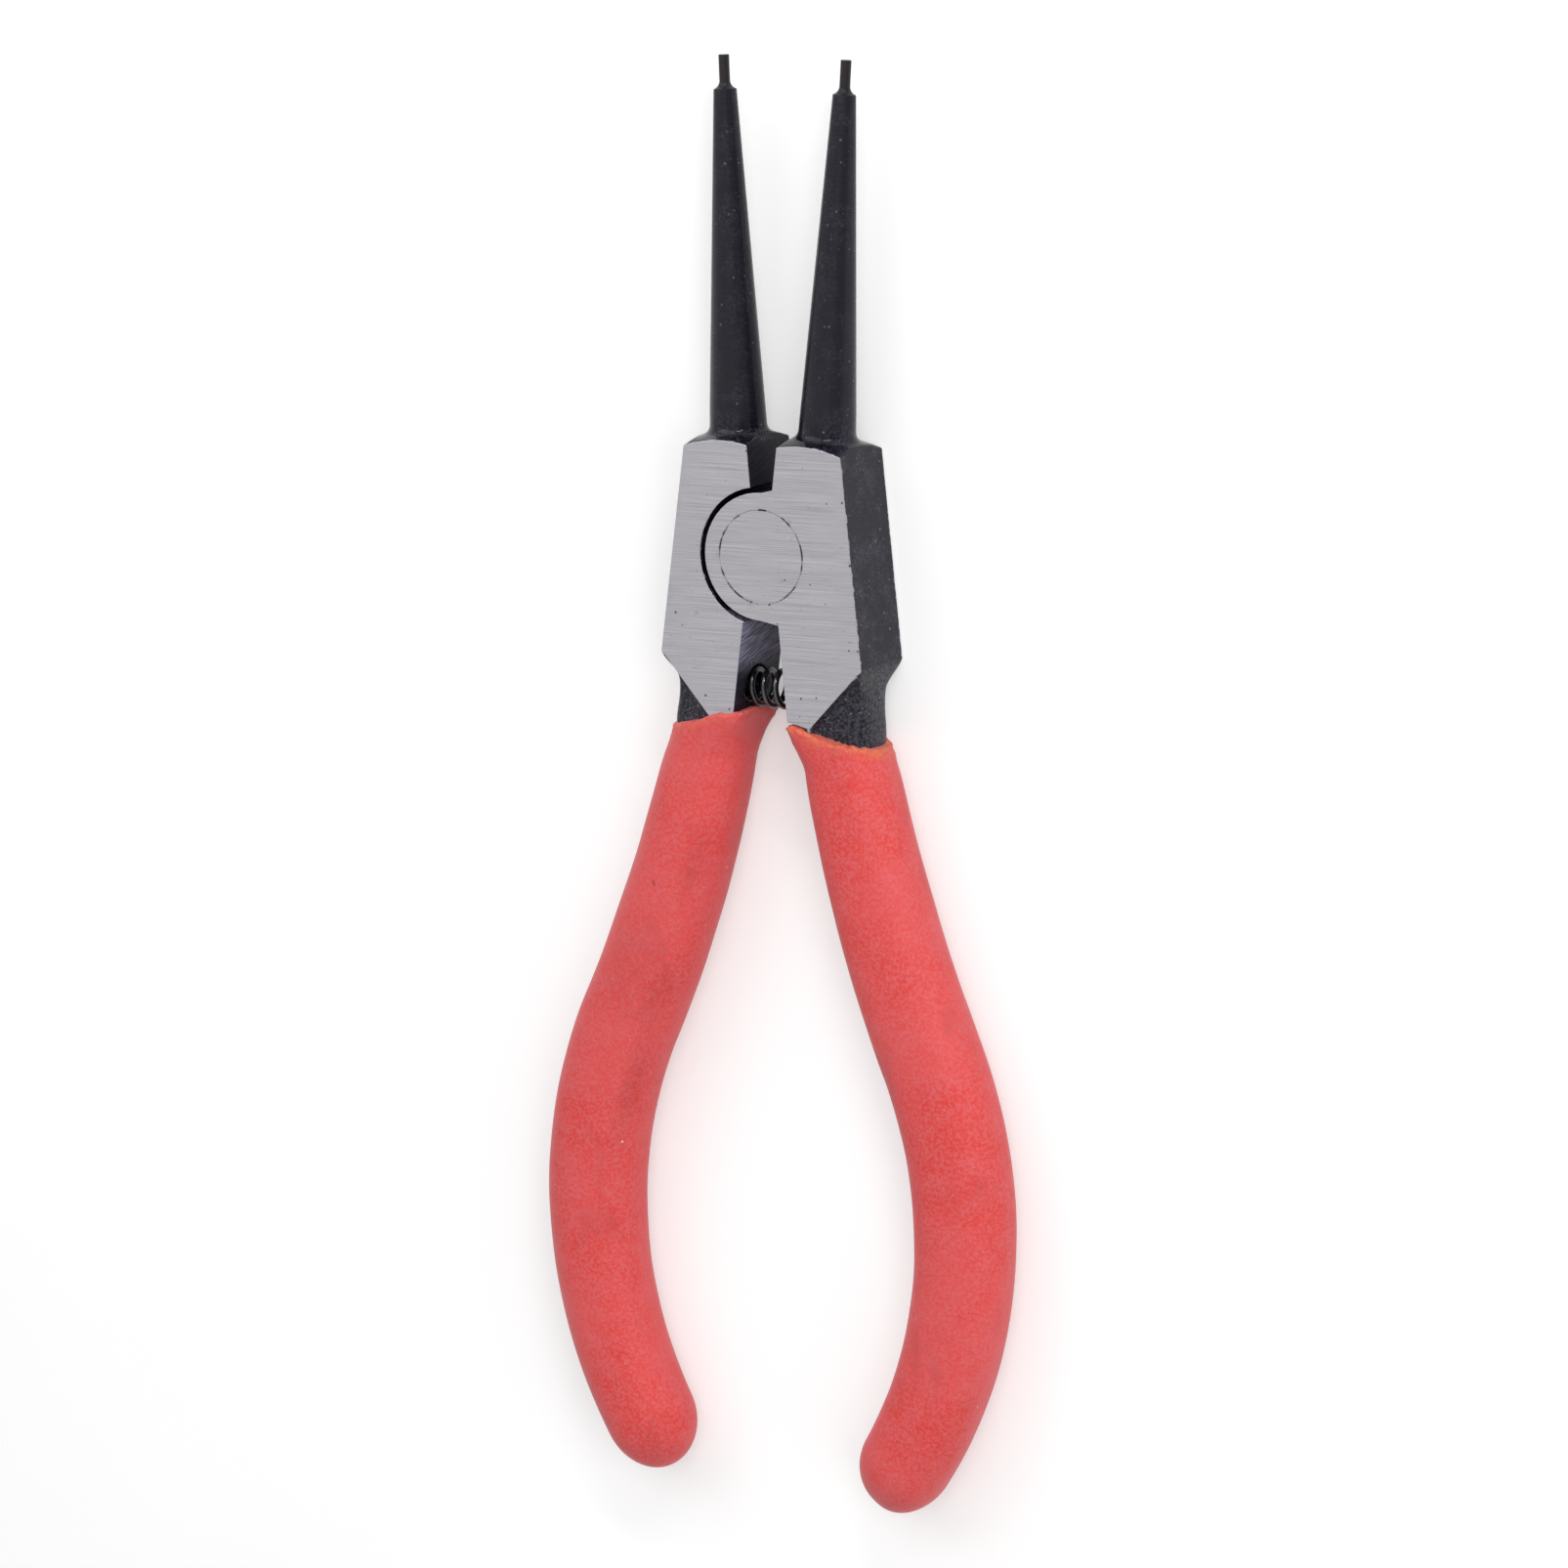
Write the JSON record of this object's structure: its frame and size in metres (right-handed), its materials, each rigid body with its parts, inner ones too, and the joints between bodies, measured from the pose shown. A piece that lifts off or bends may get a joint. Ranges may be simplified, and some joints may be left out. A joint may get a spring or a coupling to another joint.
{
  "type": "circlip pliers",
  "caption": "Straight-nose pliers for external retaining rings: lapped forged levers on a flush rivet, coil return spring between the handles, slim pin tips and dipped red grips.",
  "frame": {"origin": "on the rivet's axis, in the plane of the lower ground face of the head", "axes": "+Y along the noses to the tips, +Z along the rivet away from the surface the tool lies on, X across the two levers"},
  "size_m": [0.0648, 0.1783, 0.0112],
  "materials": {
    "lever_steel": "black oxide forging with bare ground faces",
    "rivet_steel": "ground flush",
    "spring_steel": "oiled black wire",
    "red_coat": "matt dipped soft coat"
  },
  "bodies": {
    "left": {"left_lever": "lever_steel", "left_grip": "red_coat", "pivot_rivet": "rivet_steel", "return_spring": "spring_steel"},
    "right": {"right_lever": "lever_steel", "right_grip": "red_coat"}
  },
  "joints": [
    {"name": "lever_pivot", "type": "hinge", "parent": "left", "child": "right", "pos_m": [0, 0, 0.0052], "axis": [0, 0, 1], "range_deg": [-11.5, 13], "stiffness_Nm_per_rad": 0.8, "deforming": ["return_spring"]}
  ]
}
